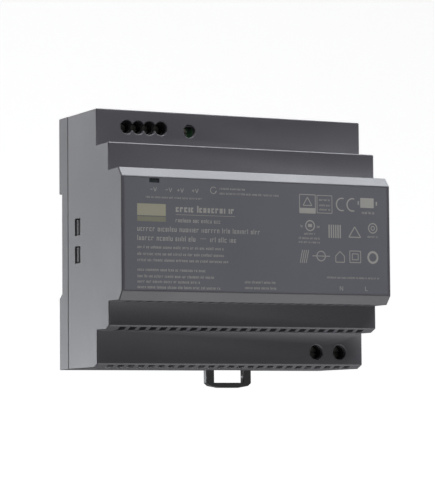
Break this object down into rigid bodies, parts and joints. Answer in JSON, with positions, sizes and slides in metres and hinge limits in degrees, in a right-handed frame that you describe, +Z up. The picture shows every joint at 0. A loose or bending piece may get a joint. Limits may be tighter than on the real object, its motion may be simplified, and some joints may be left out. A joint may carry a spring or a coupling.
{
  "type": "din rail power supply",
  "caption": "Stepped moulded power supply that clips onto a 35 mm top-hat rail, with screw terminals, a trimmer, vents and a sprung rail latch.",
  "frame": {"origin": "middle of the rail seat, on the plane where the front of the rail's flanges rests, at mid width of the case and mid height of the rail", "axes": "+X to the right seen from the front, +Y backwards out of the rail seat (the front faces -Y), +Z up"},
  "size_m": [0.105, 0.0545, 0.0964],
  "materials": {
    "case_plastic": "fine spark-eroded moulded texture, dark grey",
    "base_plastic": "fine spark-eroded moulded texture, dark grey",
    "latch_plastic": "satin black moulding",
    "spring_wire": "drawn spring steel wire",
    "face_film": null,
    "light_guide": "clear moulded guide, unlit",
    "led_lens": "small green-tinted lens",
    "terminal_plastic": "black insulating moulding",
    "contact_metal": "tinned brass strip",
    "trimmer_plastic": "blue moulding",
    "trimmer_shaft_plastic": "off-white moulding",
    "board_laminate": "green solder mask on glass laminate",
    "insulation_film": "milky insulating film",
    "fuse_ceramic": "ceramic tube with metal caps",
    "thermistor_coating": "dark coated disc",
    "varistor_coating": "blue epoxy-coated disc",
    "film_capacitor_case": "yellow box case",
    "ferrite_green": "coated ferrite",
    "copper_winding": "enamelled copper wire",
    "black_moulding": "black moulding",
    "package_epoxy": "black epoxy package",
    "capacitor_sleeve": "dark shrink sleeve on an aluminium can",
    "ferrite_black": "sintered ferrite",
    "winding_tape": "yellow polyester tape over the coil",
    "heatsink_aluminium": "extruded aluminium",
    "fastener_steel": "zinc-plated steel",
    "ferrite_yellow": "coated iron powder ring",
    "optocoupler_white": "pale epoxy package",
    "screw_steel": "nickel-plated steel",
    "clamp_steel": "zinc-plated steel"
  },
  "bodies": {
    "case": {"front_housing": "case_plastic", "rear_base": "base_plastic", "output_terminal_block": "terminal_plastic", "input_terminal_block": "terminal_plastic", "output_contact_bars": "contact_metal", "input_contact_bars": "contact_metal", "main_board": "board_laminate", "insulation_sheet": "insulation_film", "mains_fuse": "fuse_ceramic", "inrush_thermistor": "thermistor_coating", "surge_varistor": "varistor_coating", "line_capacitors": "film_capacitor_case", "choke_core": "ferrite_green", "choke_windings": "copper_winding", "choke_base": "black_moulding", "bridge_rectifier": "package_epoxy", "bulk_capacitors": "capacitor_sleeve", "transformer_core": "ferrite_black", "transformer_bobbin": "black_moulding", "transformer_winding": "winding_tape", "switch_transistors": "package_epoxy", "primary_heatsink": "heatsink_aluminium", "output_rectifiers": "package_epoxy", "secondary_heatsink": "heatsink_aluminium", "heatsink_screws": "fastener_steel", "output_capacitors": "capacitor_sleeve", "output_choke_core": "ferrite_yellow", "output_choke_winding": "copper_winding", "safety_capacitors": "varistor_coating", "optocouplers": "optocoupler_white", "control_chips": "package_epoxy", "trimmer_body": "trimmer_plastic", "status_led": "led_lens", "light_pipe": "light_guide", "front_label": "face_film", "latch_spring": "spring_wire"},
    "rail_latch": {"rail_latch": "latch_plastic"},
    "output_screw_1": {"output_screw_1": "screw_steel"},
    "output_clamp_1": {"output_clamp_1": "clamp_steel"},
    "output_screw_2": {"output_screw_2": "screw_steel"},
    "output_clamp_2": {"output_clamp_2": "clamp_steel"},
    "output_screw_3": {"output_screw_3": "screw_steel"},
    "output_clamp_3": {"output_clamp_3": "clamp_steel"},
    "output_screw_4": {"output_screw_4": "screw_steel"},
    "output_clamp_4": {"output_clamp_4": "clamp_steel"},
    "input_screw_1": {"input_screw_1": "screw_steel"},
    "input_clamp_1": {"input_clamp_1": "clamp_steel"},
    "input_screw_2": {"input_screw_2": "screw_steel"},
    "input_clamp_2": {"input_clamp_2": "clamp_steel"},
    "trimmer_rotor": {"trimmer_rotor": "trimmer_shaft_plastic"}
  },
  "joints": [
    {"name": "latch_slide", "type": "slide", "parent": "case", "child": "rail_latch", "axis": [0, 0, -1], "range_m": [0, 0.005], "stiffness_N_per_m": 600, "springref_m": -0.004, "deforming": ["latch_spring"]},
    {"name": "output_screw_1_turn", "type": "hinge", "parent": "case", "child": "output_screw_1", "pos_m": [-0.0408, 0, 0.03895], "axis": [0, 1, 0], "range_deg": [0, 1980]},
    {"name": "output_clamp_1_rise", "type": "slide", "parent": "case", "child": "output_clamp_1", "axis": [0, -1, 0], "range_m": [0, 0.0022]},
    {"name": "output_screw_2_turn", "type": "hinge", "parent": "case", "child": "output_screw_2", "pos_m": [-0.03643, 0, 0.03895], "axis": [0, 1, 0], "range_deg": [0, 1980]},
    {"name": "output_clamp_2_rise", "type": "slide", "parent": "case", "child": "output_clamp_2", "axis": [0, -1, 0], "range_m": [0, 0.0022]},
    {"name": "output_screw_3_turn", "type": "hinge", "parent": "case", "child": "output_screw_3", "pos_m": [-0.03206, 0, 0.03895], "axis": [0, 1, 0], "range_deg": [0, 1980]},
    {"name": "output_clamp_3_rise", "type": "slide", "parent": "case", "child": "output_clamp_3", "axis": [0, -1, 0], "range_m": [0, 0.0022]},
    {"name": "output_screw_4_turn", "type": "hinge", "parent": "case", "child": "output_screw_4", "pos_m": [-0.02769, 0, 0.03895], "axis": [0, 1, 0], "range_deg": [0, 1980]},
    {"name": "output_clamp_4_rise", "type": "slide", "parent": "case", "child": "output_clamp_4", "axis": [0, -1, 0], "range_m": [0, 0.0022]},
    {"name": "input_screw_1_turn", "type": "hinge", "parent": "case", "child": "input_screw_1", "pos_m": [0.03355, 0, -0.039], "axis": [0, 1, 0], "range_deg": [0, 2520]},
    {"name": "input_clamp_1_rise", "type": "slide", "parent": "case", "child": "input_clamp_1", "axis": [0, -1, 0], "range_m": [0, 0.0035]},
    {"name": "input_screw_2_turn", "type": "hinge", "parent": "case", "child": "input_screw_2", "pos_m": [0.0431, 0, -0.039], "axis": [0, 1, 0], "range_deg": [0, 2520]},
    {"name": "input_clamp_2_rise", "type": "slide", "parent": "case", "child": "input_clamp_2", "axis": [0, -1, 0], "range_m": [0, 0.0035]},
    {"name": "trimmer_turn", "type": "hinge", "parent": "case", "child": "trimmer_rotor", "pos_m": [-0.0166, 0, 0.0385], "axis": [0, 1, 0], "range_deg": [-110, 110]}
  ],
  "couplings": [
    {"joint": "output_screw_1_turn", "follows": "output_clamp_1_rise", "rad_per_m": 15708},
    {"joint": "output_screw_2_turn", "follows": "output_clamp_2_rise", "rad_per_m": 15708},
    {"joint": "output_screw_3_turn", "follows": "output_clamp_3_rise", "rad_per_m": 15708},
    {"joint": "output_screw_4_turn", "follows": "output_clamp_4_rise", "rad_per_m": 15708},
    {"joint": "input_screw_1_turn", "follows": "input_clamp_1_rise", "rad_per_m": 12566},
    {"joint": "input_screw_2_turn", "follows": "input_clamp_2_rise", "rad_per_m": 12566}
  ]
}
